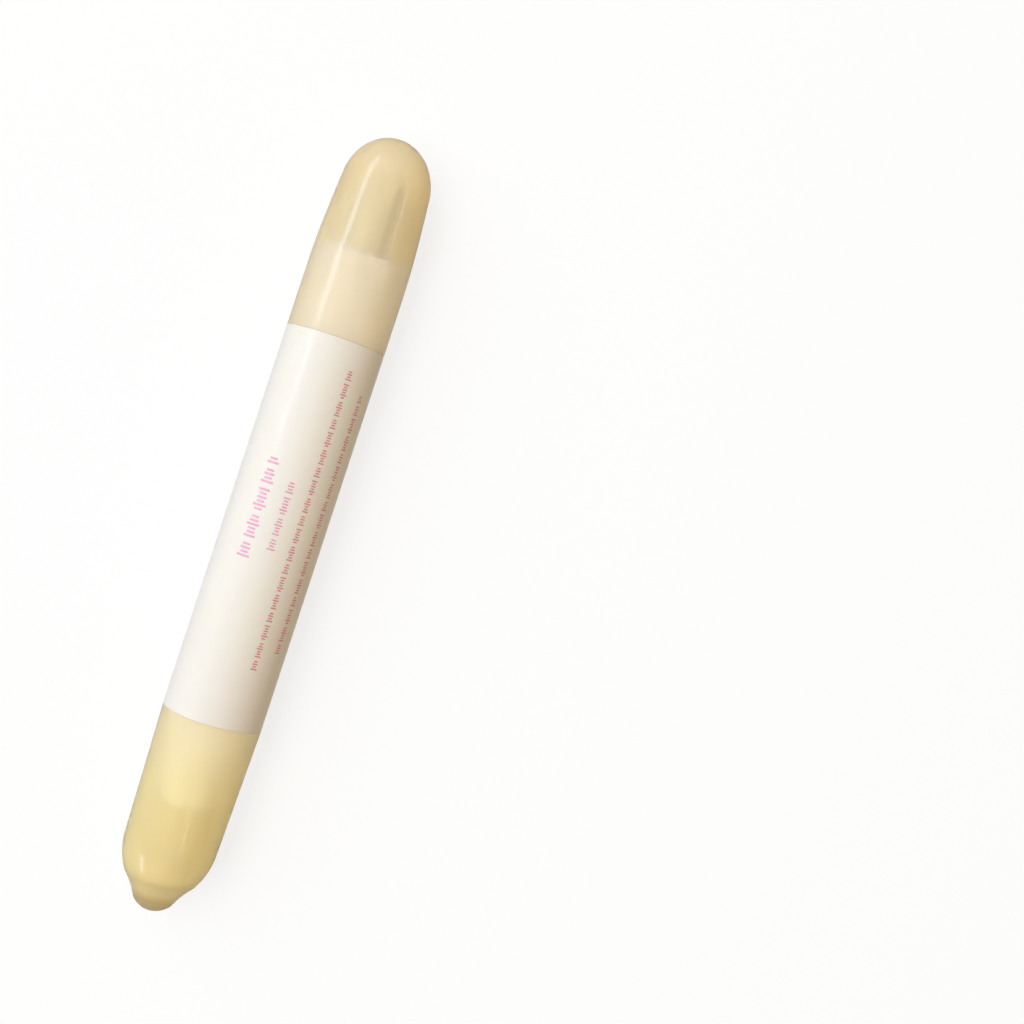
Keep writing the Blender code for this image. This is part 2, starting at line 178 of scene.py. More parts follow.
def soft_outline(outline):
    """An outline's (x, r) points. A corner with a third number, its setback, becomes a soft bend."""
    points = []
    for index, corner in enumerate(outline):
        if len(corner) == 2:
            points.append(corner)
            continue
        here = Vector(corner[:2])
        before = Vector(outline[index - 1][:2]) - here
        after = Vector(outline[(index + 1) % len(outline)][:2]) - here
        first = here + before.normalized() * min(corner[2], before.length * BEND_SHARE)
        last = here + after.normalized() * min(corner[2], after.length * BEND_SHARE)
        points.extend(rounded(first, here, last))
    return points


def ellipse(centre, length, radius, start, end, steps=DOME_STEPS):
    """Points (x, r) on a dome's ellipse between two angles, where 90 degrees is its tip."""
    points = []
    for step in range(steps + 1):
        angle = start + (end - start) * step / steps
        points.append((centre + length * math.sin(angle), max(radius * math.cos(angle), 0.0)))
    return points


def eased(start, end, start_slope, end_slope):
    """Points (x, r) between two ends on a cubic that leaves and arrives at the given slopes."""
    run = end[0] - start[0]
    points = []
    for step in range(BLEND_STEPS + 1):
        t = step / BLEND_STEPS
        radius = (
            (2 * t**3 - 3 * t**2 + 1) * start[1]
            + (t**3 - 2 * t**2 + t) * run * start_slope
            + (3 * t**2 - 2 * t**3) * end[1]
            + (t**3 - t**2) * run * end_slope
        )
        points.append((start[0] + run * t, radius))
    return points


def smooth(mesh):
    """Shades a mesh smooth, apart from its sharp edges."""
    mesh.shade_smooth()
    mesh.set_sharp_from_angle(angle=SHARP_ANGLE)


def add_piece(name, bm, station, towards_nib=False):
    """Makes a bmesh a shaded object at a station along the pen's axis."""
    mesh = bpy.data.meshes.new(name)
    bm.to_mesh(mesh)
    bm.free()
    smooth(mesh)
    obj = bpy.data.objects.new(name, mesh)
    bpy.context.scene.collection.objects.link(obj)
    obj.location = (station, 0.0, barrel_radius)
    obj.rotation_euler.z = math.pi if towards_nib else 0.0
    return obj


def put_in_line(obj, node):
    """Moves a piece across the pen, into line with a CAD node."""
    low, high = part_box(node)
    obj.location.y = (low.y + high.y) / 2
    obj.location.z = (low.z + high.z) / 2


def turned(outline, segments=SEGMENTS, ring=False):
    """Spins an outline of (x, r) points round the X axis. A ring's outline is closed."""
    bm = bmesh.new()
    verts = [bm.verts.new((x, 0.0, r)) for x, r in outline]
    edges = [bm.edges.new(pair) for pair in zip(verts, verts[1:])]
    if ring:
        edges.append(bm.edges.new((verts[-1], verts[0])))
    bmesh.ops.spin(
        bm,
        geom=verts + edges,
        cent=(0, 0, 0),
        axis=(1, 0, 0),
        angle=math.tau,
        steps=segments,
        use_merge=True,
    )
    bmesh.ops.remove_doubles(bm, verts=bm.verts, dist=MERGE_DISTANCE)
    bmesh.ops.recalc_face_normals(bm, faces=bm.faces)
    return bm


def bars_round_axis(low, high, count):
    """The same bar repeated evenly round the X axis."""
    bm = bmesh.new()
    for copy in range(count):
        made = bmesh.ops.create_cube(bm, size=1.0)["verts"]
        for vert in made:
            for axis in range(3):
                vert.co[axis] = high[axis] if vert.co[axis] > 0 else low[axis]
        turn = Matrix.Rotation(math.tau * (copy + 0.5) / count, 3, "X")
        bmesh.ops.rotate(bm, verts=made, cent=(0, 0, 0), matrix=turn)
    bmesh.ops.recalc_face_normals(bm, faces=bm.faces)
    return bm


def shape_with(obj, tool, operation):
    """Adds the tool to the piece, or cuts it out, and removes the tool."""
    modifier = obj.modifiers.new("shape", "BOOLEAN")
    modifier.operation = operation
    modifier.solver = "EXACT"
    modifier.object = tool
    bpy.context.view_layer.update()
    evaluated = obj.evaluated_get(bpy.context.evaluated_depsgraph_get())
    mesh = bpy.data.meshes.new_from_object(evaluated)
    obj.modifiers.remove(modifier)
    obj.data = mesh
    smooth(mesh)
    bpy.data.objects.remove(tool, do_unlink=True)


def make_barrel():
    """Plain tube with soft rims, and the ribs inside that centre the reservoir."""
    outline = soft_outline(
        [
            (0, bore_radius, BARREL_RIM / 2),
            (0, barrel_radius, BARREL_RIM),
            (barrel_length, barrel_radius, BARREL_RIM),
            (barrel_length, bore_radius, BARREL_RIM / 2),
        ]
    )
    barrel = add_piece("barrel_shell", turned(outline, ring=True), barrel_start)
    rib_start = nose_skirt_end - barrel_start + RIB_END_SPACE
    rib_end = holder_bottom - barrel_start - RIB_END_SPACE
    ribs = bars_round_axis(
        (rib_start, -RIB_WIDTH / 2, reservoir_space),
        (rib_end, RIB_WIDTH / 2, bore_radius + BARREL_WALL / 3),
        RIB_COUNT,
    )
    shape_with(barrel, add_piece("barrel_ribs", ribs, barrel_start), "UNION")
    return barrel


def make_nose():
    """Nose: skirt inside the barrel, cone and neck outside it, and the nib's bore with its vents."""
    foot = SEAT_LINE
    slope = (neck_radius - collar_radius) / (CONE_LENGTH - foot)
    blend_start = (CONE_LENGTH - CONE_BLEND_BEFORE, neck_radius - CONE_BLEND_BEFORE * slope)
    blend_end = (CONE_LENGTH + CONE_BLEND_AFTER, neck_radius)
    tip_radius = neck_radius - NECK_TAPER
    skirt_end = barrel_start - nose_skirt_end
    bore_end = nose_length - NECK_BORE_LENGTH
    outline = soft_outline(
        [
            (skirt_end, reservoir_space),
            (skirt_end, skirt_radius, SKIRT_ROUND),
            (foot, skirt_radius),
            (foot, collar_radius, CONE_FOOT_ROUND),
            *eased(blend_start, blend_end, slope, 0.0),
            (nose_length - NECK_TAPER_LENGTH, neck_radius, NECK_LIP_ROUND / 2),
            (nose_length, tip_radius, NECK_LIP_ROUND),
            (nose_length, neck_bore, NECK_LIP_ROUND / 3),
            (bore_end, neck_bore),
            (bore_end - FUNNEL_STEP, neck_bore + FUNNEL_STEP),
            (-SHOULDER_DEPTH, reservoir_space - SHOULDER_WIDTH),
            (-SHOULDER_DEPTH, reservoir_space),
        ]
    )
    nose = add_piece("nose", turned(outline, ring=True), barrel_start, towards_nib=True)
    vents = bars_round_axis(
        (bore_end - 2 * FUNNEL_STEP, -VENT_WIDTH / 2, neck_bore - VENT_DEPTH),
        (nose_length + FUNNEL_STEP, VENT_WIDTH / 2, neck_bore + VENT_DEPTH),
        VENT_COUNT,
    )
    shape_with(nose, add_piece("nose_vents", vents, barrel_start, towards_nib=True), "DIFFERENCE")
    return nose


def felt_rod():
    """Felt nib from x = 0: rounded rear end, and a slanted, soft-edged, dished face towards +Z."""
    outline = soft_outline(
        [
            (0, 0),
            (0, nib_radius, NIB_REAR_ROUND),
            (nib_length - NIB_SLANT_LENGTH - NIB_EDGE, nib_radius),
            (nib_length + NIB_EDGE, nib_radius),
            (nib_length + NIB_EDGE, 0),
        ]
    )
    bm = turned(outline, NIB_SEGMENTS)
    cut = bmesh.ops.bisect_plane(
        bm,
        geom=bm.verts[:] + bm.edges[:] + bm.faces[:],
        dist=CUT_TOLERANCE,
        plane_co=(nib_length, 0, NIB_EDGE / 2 - nib_radius),
        plane_no=(2 * nib_radius, 0, NIB_SLANT_LENGTH),
        clear_outer=True,
    )
    rim = [item for item in cut["geom_cut"] if isinstance(item, bmesh.types.BMEdge)]
    face = bmesh.ops.edgeloop_fill(bm, edges=rim)["faces"][0]
    bmesh.ops.recalc_face_normals(bm, faces=bm.faces)
    sink = -NIB_DISH / NIB_DISH_STEPS
    for _ in range(NIB_DISH_STEPS):
        bmesh.ops.inset_region(bm, faces=[face], thickness=NIB_DISH_INSET, depth=sink)
    bmesh.ops.bevel(
        bm,
        geom=rim,
        offset=NIB_EDGE,
        segments=BEND_STEPS,
        profile=0.5,
        affect="EDGES",
        clamp_overlap=True,
    )
    return bm


def make_nibs():
    """Working nib in the nose, and the spares in the holder with their slanted faces outwards."""
    nib = add_piece("nib_felt", felt_rod(), nib_rear, towards_nib=True)
    spares = []
    for number in range(1, SPARE_COUNT + 1):
        node = f"spare_nib_{number}"
        spare = add_piece(f"spare_felt_{number}", felt_rod(), span(node)[0])
        put_in_line(spare, node)
        spare.rotation_euler.x = math.tau * (number - 1) / SPARE_COUNT
        spares.append(spare)
    return nib, spares


def make_holder():
    """Plug for the barrel's tail end, with its collar and a blind socket for each spare nib."""
    bottom = holder_bottom - barrel_end
    outline = soft_outline(
        [
            (bottom, 0),
            (bottom, skirt_radius, SKIRT_ROUND),
            (SEAT_LINE, skirt_radius),
            (SEAT_LINE, collar_radius, SKIRT_ROUND / 2),
            (collar_length, collar_radius, HOLDER_EDGE),
            (collar_length, 0),
        ]
    )
    holder = add_piece("holder", turned(outline), barrel_end)
    socket_radius = nib_radius + SNUG_CLEARANCE
    mouth_radius = socket_radius + SOCKET_LEAD_IN
    middle_depth, middle_width = (SOCKET_LEAD_IN * share for share in SOCKET_LEAD_IN_MIDDLE)
    for number in range(1, SPARE_COUNT + 1):
        node = f"spare_nib_{number}"
        floor = span(node)[0] - SOCKET_FLOOR_GAP - barrel_end
        socket_outline = [
            (floor, 0),
            (floor, socket_radius),
            (collar_length - SOCKET_LEAD_IN, socket_radius),
            (collar_length - middle_depth, socket_radius + middle_width),
            (collar_length, mouth_radius),
            (collar_length + SOCKET_LEAD_IN, mouth_radius),
            (collar_length + SOCKET_LEAD_IN, 0),
        ]
        socket = add_piece("socket", turned(socket_outline, NIB_SEGMENTS), barrel_end)
        put_in_line(socket, node)
        shape_with(holder, socket, "DIFFERENCE")
    return holder


def dome_radius_at(station, centre, length, radius):
    """A dome's radius at a station along it."""
    return radius * math.sqrt(max(0.0, 1 - ((station - centre) / length) ** 2))


def nub_junction(dome_centre, dome_radius, nub_centre):
    """Angles on the dome and on the nub where the two curves cross."""
    low, high = nub_centre, dome_centre + NIB_CAP_DOME_LENGTH
    for _ in range(JUNCTION_HALVINGS):
        middle = (low + high) / 2
        dome = dome_radius_at(middle, dome_centre, NIB_CAP_DOME_LENGTH, dome_radius)
        if dome > dome_radius_at(middle, nub_centre, NUB_LENGTH, nub_radius):
            low = middle
        else:
            high = middle
    on_dome = math.asin((low - dome_centre) / NIB_CAP_DOME_LENGTH)
    on_nub = math.asin((low - nub_centre) / NUB_LENGTH)
    return on_dome, on_nub


def make_nib_cap():
    """Nib cap: tapered shell, dome with its nub, and inside it the sleeve that seals on the neck.

    The pocket round the sleeve follows the dome up to the nub, so that the wall is thin that far.
    """
    mouth = SEAT_LINE - seat_gap
    dome_radius = barrel_radius - NIB_CAP_TAPER
    dome_centre = nib_cap_length - NUB_STANDOFF - NIB_CAP_DOME_LENGTH
    nub_centre = nib_cap_length - NUB_LENGTH
    dome_end, nub_start = nub_junction(dome_centre, dome_radius, nub_centre)
    dome = ellipse(dome_centre, NIB_CAP_DOME_LENGTH, dome_radius, DOME_START, dome_end)
    nub = ellipse(nub_centre, NUB_LENGTH, nub_radius, nub_start, DOME_TIP)
    outside = [
        (mouth, cap_bore, CAP_MOUTH_ROUND),
        (mouth, barrel_radius, CAP_MOUTH_ROUND),
        *dome[:-NUB_CREASE_STEPS],
        *rounded(dome[-NUB_CREASE_STEPS], dome[-1], nub[NUB_CREASE_STEPS], 2 * NUB_CREASE_STEPS),
        *nub[NUB_CREASE_STEPS + 1 :],
    ]
    inner_radius = dome_radius - CAP_WALL
    inner_length = NIB_CAP_DOME_LENGTH - CAP_WALL
    pocket_end = math.acos((nub_radius + POCKET_WIDTH) / inner_radius)
    pocket_depth = dome_centre + inner_length * math.sin(pocket_end)
    sleeve_mouth = nose_length - NECK_TAPER_LENGTH - SLEEVE_OVERLAP - seat_gap
    sleeve_top = nose_length - seat_gap + SLEEVE_STOP_SPACE
    sleeve_end = sleeve_top + SLEEVE_CLOSED_END
    throat = (nub_centre, NUB_LENGTH - NUB_WALL, throat_radius)
    inner_dome = (dome_centre, inner_length, inner_radius)
    inside = [
        *reversed(ellipse(*throat, 0.0, DOME_TIP, INNER_DOME_STEPS)),
        (sleeve_top + sleeve_bore - throat_radius, throat_radius, POCKET_ROUND),
        (sleeve_top, sleeve_bore, POCKET_ROUND),
        (sleeve_mouth, sleeve_bore, POCKET_ROUND),
        (sleeve_mouth, sleeve_radius, POCKET_ROUND),
        (sleeve_end, sleeve_radius, POCKET_ROUND),
        (sleeve_end + sleeve_radius - nub_radius, nub_radius, POCKET_ROUND),
        (pocket_depth, nub_radius, POCKET_ROUND),
        *reversed(ellipse(*inner_dome, DOME_START, pocket_end, INNER_DOME_STEPS)),
    ]
    outline = soft_outline(inside + outside)
    return add_piece("nib_cap_shell", turned(outline), nib_cap_mouth, towards_nib=True)


def make_tail_cap():
    """Tail cap: straight over the holder's collar, then tapered into a round dome over the spares."""
    mouth = SEAT_LINE - seat_gap
    dome_radius = barrel_radius - TAIL_CAP_TAPER
    dome_centre = tail_cap_length - TAIL_CAP_DOME_LENGTH
    dome = ellipse(dome_centre, TAIL_CAP_DOME_LENGTH, dome_radius, DOME_START, DOME_TIP)
    slope = -dome_radius / TAIL_CAP_DOME_LENGTH * math.tan(DOME_START)
    side = eased((TAIL_CAP_STRAIGHT, barrel_radius), dome[0], 0.0, slope)
    inner_length = TAIL_CAP_DOME_LENGTH - CAP_WALL
    inner_dome = ellipse(dome_centre, inner_length, dome_radius - CAP_WALL, DOME_START, DOME_TIP)
    outline = [
        *reversed(inner_dome),
        (collar_length - seat_gap, cap_bore, CAP_MOUTH_ROUND),
        (mouth, cap_bore, CAP_MOUTH_ROUND),
        (mouth, barrel_radius, CAP_MOUTH_ROUND),
        *side[:-1],
        *dome,
    ]
    return add_piece("tail_cap_shell", turned(soft_outline(outline)), tail_cap_mouth)


# Materials
WHITE = (1.0, 1.0, 1.0, 1.0)

# Most of a noise's values lie between these two
NOISE_MIDDLE = (0.35, 0.65)

# How far roughness varies, by a value on the moulded pieces and by a share on the caps
MOULDED_WEAR = 0.06
CAP_WEAR = 0.03


class Surface:
    """A Principled material with patterns in the piece's own coordinates."""

    def __init__(self, name, **sockets):
        self.material = bpy.data.materials.new(name)
        self.material.use_nodes = True
        self.tree = self.material.node_tree
        self.shader = self.tree.nodes["Principled BSDF"]
        for socket, value in sockets.items():
            self.shader.inputs[socket.replace("_", " ")].default_value = value
        self.place = self.add("ShaderNodeTexCoord").outputs["Object"]
        self.normal = None

    def add(self, kind, **settings):
        node = self.tree.nodes.new(kind)
        for name, value in settings.items():
            setattr(node, name, value)
        return node

    def link(self, source, target):
        self.tree.links.new(source, target)

    def noise(self, scale, detail=3.0, along=1.0):
        """A noise of so many waves a metre, and only a share of them along the piece."""
        mapping = self.add("ShaderNodeMapping")
        mapping.inputs["Scale"].default_value = (along, 1, 1)
        self.link(self.place, mapping.inputs["Vector"])
        texture = self.add("ShaderNodeTexNoise")
        texture.inputs["Scale"].default_value = scale
        texture.inputs["Detail"].default_value = detail
        self.link(mapping.outputs["Vector"], texture.inputs["Vector"])
        return texture.outputs["Fac"]

    def spread(self, value, low=0.0, high=1.0, source=NOISE_MIDDLE):
        """The value, with its source range stretched to the range from low to high."""
        node = self.add("ShaderNodeMapRange")
        node.inputs["From Min"].default_value = source[0]
        node.inputs["From Max"].default_value = source[1]
        node.inputs["To Min"].default_value = low
        node.inputs["To Max"].default_value = high
        self.link(value, node.inputs["Value"])
        return node.outputs["Result"]

    def blend(self, factor, first, second):
        """A colour between two others, each a colour or a socket."""
        node = self.add("ShaderNodeMix", data_type="RGBA")
        self.link(factor, node.inputs["Factor"])
        for side, colour in (("A", first), ("B", second)):
            socket = next(s for s in node.inputs if s.name == side and s.type == "RGBA")
            if isinstance(colour, tuple):
                socket.default_value = (*colour, 1.0)
            else:
                self.link(colour, socket)
        return next(s for s in node.outputs if s.type == "RGBA")

    def along(self):
        """How far along the piece, in metres, a point lies."""
        node = self.add("ShaderNodeSeparateXYZ")
        self.link(self.place, node.inputs["Vector"])
        return node.outputs["X"]

    def colour(self, source):
        self.link(source, self.shader.inputs["Base Color"])

    def roughness(self, source):
        self.link(source, self.shader.inputs["Roughness"])

    def bump(self, height, distance):
        """Adds a bump whose full height is so many metres."""
        node = self.add("ShaderNodeBump")
        node.inputs["Distance"].default_value = distance
        self.link(height, node.inputs["Height"])
        if self.normal is not None:
            self.link(self.normal, node.inputs["Normal"])
        self.normal = node.outputs["Normal"]
        self.link(self.normal, self.shader.inputs["Normal"])


def moulded_white(name, tint, shade, rough, polish=0.0):
    """Satin moulded plastic with faint flow marks along its length and a fine grain."""
    surface = Surface(
        name,
        IOR=1.2,
        Coat_Weight=polish,
        Coat_Roughness=0.1,
        Coat_IOR=1.45,
        Subsurface_Weight=0.2,
        Subsurface_Scale=0.001,
        Subsurface_Radius=(1.0, 0.5, 0.25),
    )
    flow = surface.noise(scale=260, along=0.25)
    surface.colour(surface.blend(surface.spread(flow), tint, shade))
    wear = surface.noise(scale=900, detail=4)
    surface.roughness(surface.spread(wear, low=rough - MOULDED_WEAR, high=rough + MOULDED_WEAR))
    surface.bump(surface.noise(scale=6500, detail=2), distance=0.0000005)
    surface.bump(surface.noise(scale=240, detail=1, along=0.3), distance=0.000003)
    return surface.material


def cap_plastic(name, tint, shade, painted_shading_zones, depth, density, rough, clear, polish, skin):
    """Milky tinted plastic with soft flow bands, under a smoother skin.

    Light that goes far through it takes the depth's colour. A zone fades to its own colour from its
    first station to its second, in metres from the cap's mouth. The zones are painted light and shade:
    lighter and darker bands that stand in for how light falls through the wall and onto what lies inside.
    """
    surface = Surface(
        name,
        IOR=1.15,
        Transmission_Weight=clear,
        Coat_Weight=polish,
        Coat_Roughness=skin,
        Coat_IOR=1.5,
        Coat_Tint=(1.0, 0.97, 0.88, 1.0),
    )
    flow = surface.noise(scale=120, detail=2, along=0.35)
    colour = surface.blend(surface.spread(flow), tint, shade)
    for start, end, zone in painted_shading_zones:
        colour = surface.blend(surface.spread(surface.along(), source=(start, end)), colour, zone)
    surface.colour(colour)
    wear = surface.noise(scale=300, detail=2, along=0.3)
    surface.roughness(surface.spread(wear, low=rough * (1 - CAP_WEAR), high=rough * (1 + CAP_WEAR)))
    surface.bump(surface.noise(scale=5200, detail=2), distance=0.0000003)
    surface.bump(surface.noise(scale=190, detail=1, along=0.4), distance=0.000003)
    inside = surface.add("ShaderNodeVolumeAbsorption")
    inside.inputs["Color"].default_value = (*depth, 1.0)
    inside.inputs["Density"].default_value = density
    surface.link(inside.outputs[0], surface.tree.nodes["Material Output"].inputs["Volume"])
    return surface.material


def felt(name, tint, shade):
    """Pressed fibre: fine strands along the nib, with open pores between them."""
    surface = Surface(name, Sheen_Weight=0.25, Sheen_Roughness=0.6)
    strands = surface.noise(scale=7000, along=0.12)
    pores = surface.noise(scale=4200, detail=2)
    surface.colour(surface.blend(surface.spread(strands), shade, tint))
    surface.roughness(surface.spread(pores, low=0.8, high=1.0))
    surface.bump(strands, distance=0.000012)
    surface.bump(pores, distance=0.000012)
    return surface.material


def ink(name, tint, shade):
    """Screen-printed ink, a little uneven in density."""
    surface = Surface(name, IOR=1.5)
    surface.colour(surface.blend(surface.spread(surface.noise(scale=1600)), tint, shade))
    surface.roughness(surface.spread(surface.noise(scale=3000, detail=2), low=0.35, high=0.5))
    surface.bump(surface.noise(scale=8000, detail=2), distance=0.000001)
    return surface.material


def clear_film(name, tint, shade):
    """Thin wrinkled film round the reservoir."""
    surface = Surface(name, IOR=1.5, Transmission_Weight=0.85)
    surface.colour(surface.blend(surface.noise(scale=300, detail=2), tint, shade))
    surface.roughness(surface.spread(surface.noise(scale=600, detail=2), low=0.08, high=0.2))
    surface.bump(surface.noise(scale=900, detail=2, along=0.2), distance=0.000012)
    return surface.material


# Print: rows of plain upright bars. A row starts and ends at stations past the barrel's nib end, and
# its angle is in degrees from the top towards -Y
PRINT_ROWS = {
    "print_large": (
        {
            "start": 0.0260,
            "end": 0.0423,
            "angle": -15.3,
            "height": 0.0022,
            "width": 0.00033,
            "pitch": 0.00062,
        },
        {
            "start": 0.0282,
            "end": 0.0395,
            "angle": 12.2,
            "height": 0.0013,
            "width": 0.00024,
            "pitch": 0.00048,
        },
    ),
    "print_small": (
        {
            "start": 0.0098,
            "end": 0.0583,
            "angle": 36.2,
            "height": 0.0011,
            "width": 0.00022,
            "pitch": 0.00041,
        },
        {
            "start": 0.0129,
            "end": 0.0552,
            "angle": 61.9,
            "height": 0.0012,
            "width": 0.00022,
            "pitch": 0.00041,
        },
    ),
}

# Three groups of bars repeat along a row. A bar has a share of its row's height, and 0 leaves a space
FIRST_GROUP = (1.0, 0.6, 0.8, 0.6)
SECOND_GROUP = (0.9, 0.6, 0.6, 1.0, 0.7, 0.6)
THIRD_GROUP = (0.6, 1.0, 0.6, 0.75, 0.6, 0.9)
BAR_HEIGHTS = (*FIRST_GROUP, 0.0, *SECOND_GROUP, 0.0, *THIRD_GROUP, 0.0)
BAR_STEP = 0.0003
INK_HEIGHT = 0.000008
INK_ROOT = 0.00003

# Angles round a bar's end, in degrees
BAR_ENDS = (0.0, 35.0, 60.0, 80.0)

# A bar's section: shares of its half width, and rises over the barrel
BAR_SECTION = (
    (-1, -INK_ROOT),
    (-1, 0),
    (-0.8, INK_HEIGHT),
    (0.8, INK_HEIGHT),
    (1, 0),
    (1, -INK_ROOT),
)


def add_bar(bm, middle, width, height, angle):
    """One closed bar of ink, with round ends, that follows the barrel's surface."""
    half = width / 2
    straight = height / 2 - half
    turns = [math.radians(degrees) for degrees in BAR_ENDS]
    end = [(straight + half * math.sin(turn), half * math.cos(turn)) for turn in turns]
    count = math.ceil(2 * straight / BAR_STEP)
    stations = [(-across, reach) for across, reach in reversed(end)]
    stations += [(straight * (2 * step / count - 1), half) for step in range(1, count)]
    stations += end
    sections = []
    for across, reach in stations:
        around = angle + across / barrel_radius
        section = []
        for share, rise in BAR_SECTION:
            radius = barrel_radius + rise
            place = (middle + share * reach, -radius * math.sin(around), radius * math.cos(around))
            section.append(bm.verts.new(place))
        sections.append(section)
    for lower, upper in zip(sections, sections[1:]):
        for index in range(-1, len(lower) - 1):
            bm.faces.new((lower[index], lower[index + 1], upper[index + 1], upper[index]))
    bm.faces.new(sections[0])
    bm.faces.new(reversed(sections[-1]))


def make_print(name):
    """The rows of bars that share one ink."""
    bm = bmesh.new()
    for row in PRINT_ROWS[name]:
        angle = math.radians(row["angle"])
        for index in range(int((row["end"] - row["start"]) / row["pitch"])):
            middle = row["start"] + row["pitch"] * (index + 0.5)
            share = BAR_HEIGHTS[index % len(BAR_HEIGHTS)]
            if share:
                add_bar(bm, middle, row["width"], row["height"] * share, angle)
    bmesh.ops.recalc_face_normals(bm, faces=bm.faces)
    return add_piece(name, bm, barrel_start)


def finish_with(obj, material):
    """Makes a material the piece's only one."""
    obj.data.materials.clear()
    obj.data.materials.append(material)


def dress(obj, material, body, slot, *nodes):
    """Gives a piece its material and body, and hides the CAD nodes that it stands for. The slot is not
    used.
    """
    finish_with(obj, material)
    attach(obj, body)
    if nodes:
        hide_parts(*nodes)


def build_pen():
    """Makes every visible piece, and gives the two CAD nodes that stay better materials."""
    white = moulded_white(
        "barrel_plastic",
        tint=(0.955, 0.935, 0.905),
        shade=(0.945, 0.925, 0.89),
        rough=0.42,
        polish=0.08,
    )
    nose_white = moulded_white(
        "nose_plastic",
        tint=(0.83, 0.85, 0.87),
        shade=(0.80, 0.82, 0.845),
        rough=0.34,
    )
    holder_white = moulded_white(
        "holder_plastic",
        tint=(0.78, 0.78, 0.775),
        shade=(0.75, 0.75, 0.745),
        rough=0.38,
    )
    nib_cream = cap_plastic(
        "nib_cap_plastic",
        tint=(0.995, 0.933, 0.69),
        shade=(0.985, 0.918, 0.66),
        painted_shading_zones=(
            # Paler towards the mouth: painted light, where the white parts inside show through the wall
            (0.014, 0.002, (0.97, 0.91, 0.75)),
            # Darker at the nub: painted shade in its crease and over the grey nib inside
            (0.0282, 0.0296, (0.74, 0.64, 0.42)),
        ),
        depth=(0.70, 0.57, 0.08),
        density=160,
        rough=0.46,
        clear=0.68,
        polish=0.14,
        skin=0.12,
    )
    tail_cream = cap_plastic(
        "tail_cap_plastic",
        tint=(0.95, 0.92, 0.875),
        shade=(0.94, 0.905, 0.85),
        painted_shading_zones=(
            # Darker and deeper in colour past the collar's end: painted shade, where no white collar lies
            # behind the wall
            (0.0134, 0.0139, (0.935, 0.885, 0.75)),
            # Paler over the dome: a painted broad highlight
            (0.0255, 0.0305, (0.955, 0.92, 0.84)),
        ),
        depth=(0.92, 0.80, 0.42),
        density=350,
        rough=0.43,
        clear=0.70,
        polish=0.2,
        skin=0.09,
    )
    nib_fibre = felt("nib_fibre", tint=(0.72, 0.72, 0.73), shade=(0.58, 0.58, 0.60))
    core_fibre = felt("core_fibre", tint=(0.82, 0.82, 0.80), shade=(0.68, 0.68, 0.66))
    film = clear_film("film", tint=(0.93, 0.95, 0.96), shade=(0.88, 0.91, 0.93))
    lilac = ink("ink_lilac", tint=(0.81, 0.35, 0.56), shade=(0.87, 0.43, 0.62))
    rose = ink("ink_rose", tint=(0.70, 0.23, 0.26), shade=(0.78, 0.31, 0.34))

    dress(make_barrel(), white, "pen_body", "barrel_white", "barrel")
    dress(make_nose(), nose_white, "pen_body", "insert_white", "nose_cone")
    dress(make_holder(), holder_white, "pen_body", "insert_white", "nib_holder")
    nib, spares = make_nibs()
    dress(nib, nib_fibre, "pen_body", "nib_felt", "nib")
    for number, spare in enumerate(spares, 1):
        dress(spare, nib_fibre, "pen_body", "nib_felt", f"spare_nib_{number}")
    dress(make_nib_cap(), nib_cream, "nib_cap", "cap_cream", "nib_cap")
    dress(make_tail_cap(), tail_cream, "tail_cap", "cap_cream", "tail_cap")
    dress(make_print("print_large"), lilac, "pen_body", "barrel_white")
    dress(make_print("print_small"), rose, "pen_body", "barrel_white")
    finish_with(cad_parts["reservoir_core"], core_fibre)
    finish_with(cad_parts["reservoir_film"], film)


# Stage
FLOOR_SIZE = 6.0
FLOOR_BASE = (0.200, 0.207, 0.215)
FLOOR_GLOW = 0.805
WORLD_COLOUR = (1.0, 0.86, 0.70)
WORLD_STRENGTH = 0.14

CAMERA_PLACE = (0.0136, -0.0349, 0.230)
CAMERA_TURN = math.radians(-71.85)
CAMERA_LENS = 49.4
CAMERA_SENSOR = 36.0

# The middle of the pen, at which every lamp points
LAMP_AIM = Vector((0.0, 0.0, 0.008))

# Lamps that light the pen and leave no streak on it
BROAD_LAMPS = {
    "left": {
        "place": (0.20, 0.965, 0.81),
        "size": (2.0, 1.0),
        "level": 0.555,
        "colour": (0.85, 0.94, 1.0),
    },
    "top": {
        "place": (0.10, 0.326, 1.217),
        "size": (1.6, 0.6),
        "level": 0.765,
        "colour": (1.0, 0.945, 0.865),
    },
    "side": {
        "place": (0.10, -1.248, 0.175),
        "size": (1.6, 0.3),
        "level": 0.285,
        "colour": (1.0, 0.67, 0.27),
    },
}

# Lamps that leave a streak on the pen's polished surfaces and nothing else
STREAK_LAMPS = {
    "strip": {
        "place": (0.245, 0.3045, 0.305),
        "size": (0.50, 0.10),
        "level": 1.2,
        "colour": (0.6, 0.76, 1.0),
    },
    "low_window": {
        "place": (-0.369, 0.301, 0.222),
        "size": (0.18, 0.08),
        "level": 0.45,
        "colour": (0.8, 0.89, 1.0),
    },
    "faint_strip": {
        "place": (0.15, -0.38, 0.18),
        "size": (0.13, 0.02),
        "level": 0.07,
    },
    "nib_strip": {
        "place": (-0.203, -0.25, 0.355),
        "size": (0.03, 0.02),
        "level": 0.04,
    },
}


def seen_directly(tree):
    """1 for camera, glossy and transmission rays, and 0 for any other."""
    path = tree.nodes.new("ShaderNodeLightPath")
    total = path.outputs["Is Camera Ray"]
    for ray in ("Is Glossy Ray", "Is Transmission Ray"):
        node = tree.nodes.new("ShaderNodeMath")
        node.operation = "MAXIMUM"
        tree.links.new(total, node.inputs[0])
        tree.links.new(path.outputs[ray], node.inputs[1])
        total = node.outputs[0]
    return total


